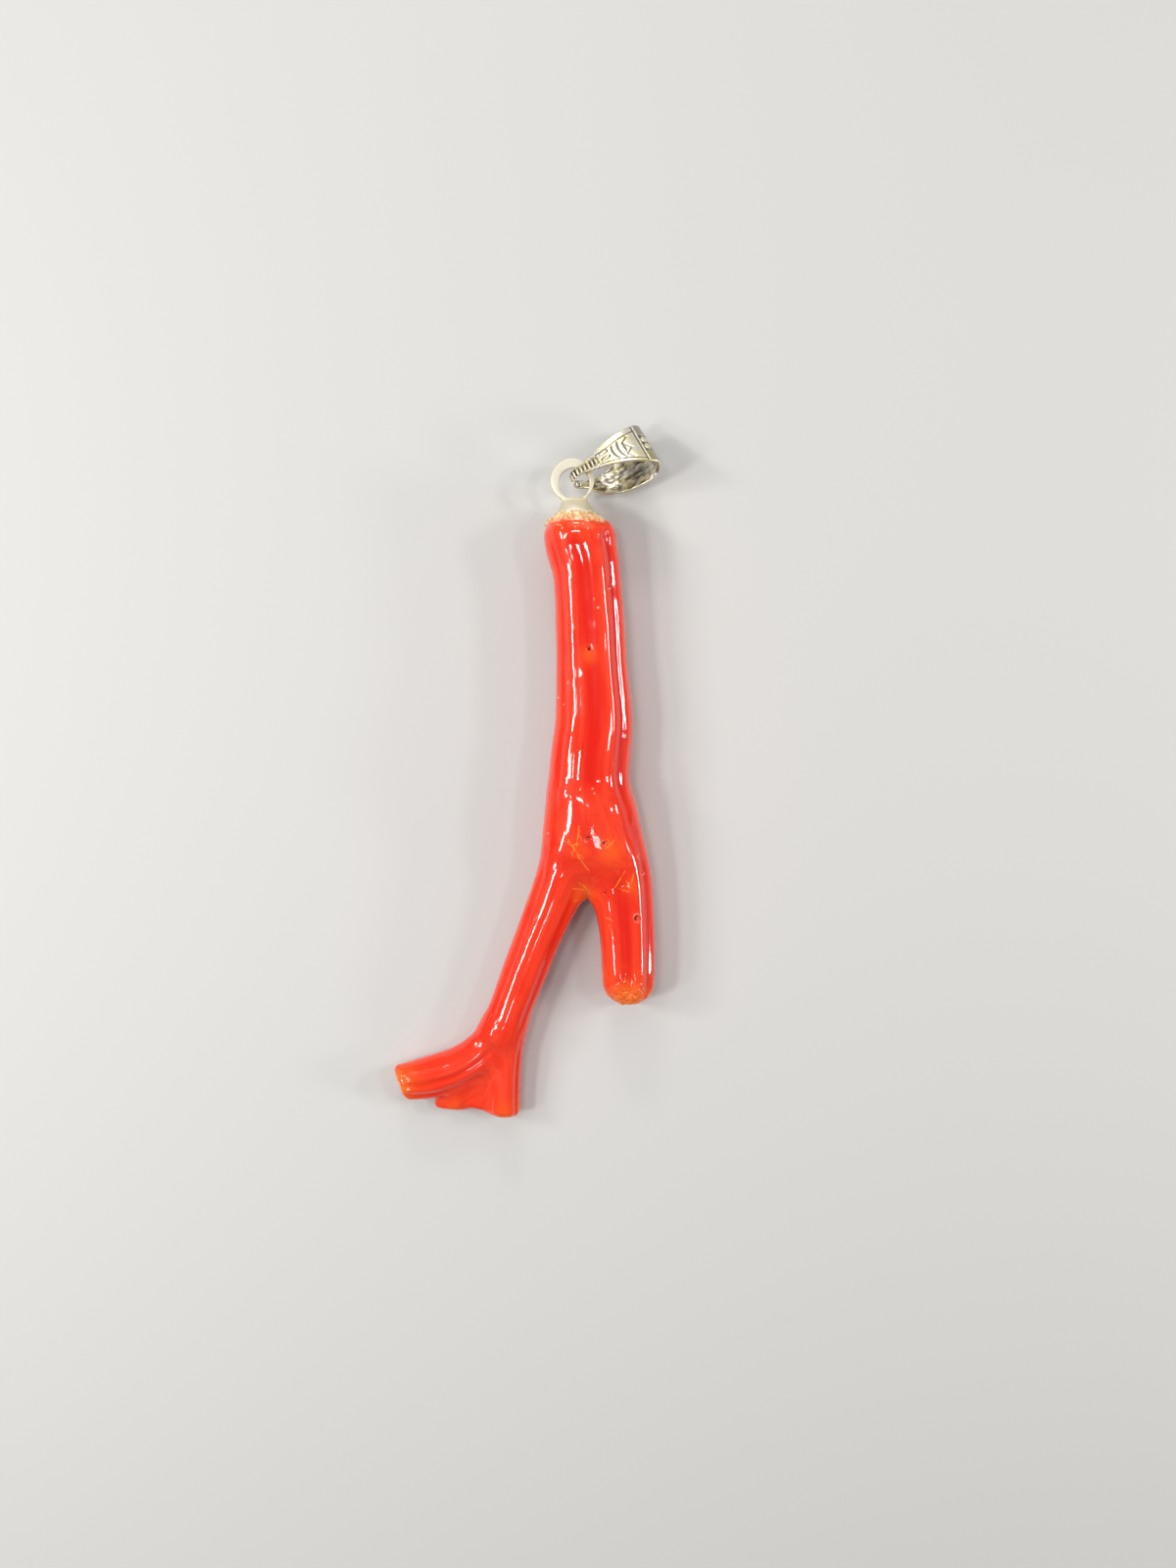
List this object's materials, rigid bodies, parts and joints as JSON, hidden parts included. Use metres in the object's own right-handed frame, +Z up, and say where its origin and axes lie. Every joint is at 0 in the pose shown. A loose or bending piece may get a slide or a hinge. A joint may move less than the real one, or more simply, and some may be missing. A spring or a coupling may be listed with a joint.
{
  "type": "red coral branch pendant",
  "caption": "Polished forked branch of red coral with a glued end cap, a cast loop and a tapered bail that swings on the loop, for hanging on a necklace.",
  "frame": {"origin": "middle of the outline seen from above, on the surface the pendant lies on", "axes": "+Y along the trunk towards the cap and the bail, +X to the right seen from above, +Z up, out of the face that was pictured"},
  "size_m": [0.0301, 0.0783, 0.0078],
  "materials": {
    "coral": "polished orange red, with fine lengthwise grooves and a few small pits",
    "glue": "clear amber glue with a wet shine",
    "silver": "warm creamy silver with a little yellow tarnish"
  },
  "bodies": {
    "coral": {"trunk": "coral", "short_branch": "coral", "long_branch": "coral", "toe_twig": "coral", "heel_twig": "coral", "glue_collar": "glue", "end_cap": "silver"},
    "bail": {"bail": "silver"}
  },
  "joints": [
    {"name": "bail_round_loop", "type": "hinge", "parent": "coral", "child": "bail", "pos_m": [0.0051, 0.03278, 0.00375], "axis": [0, 0, 1], "range_deg": [-35, 178]}
  ]
}
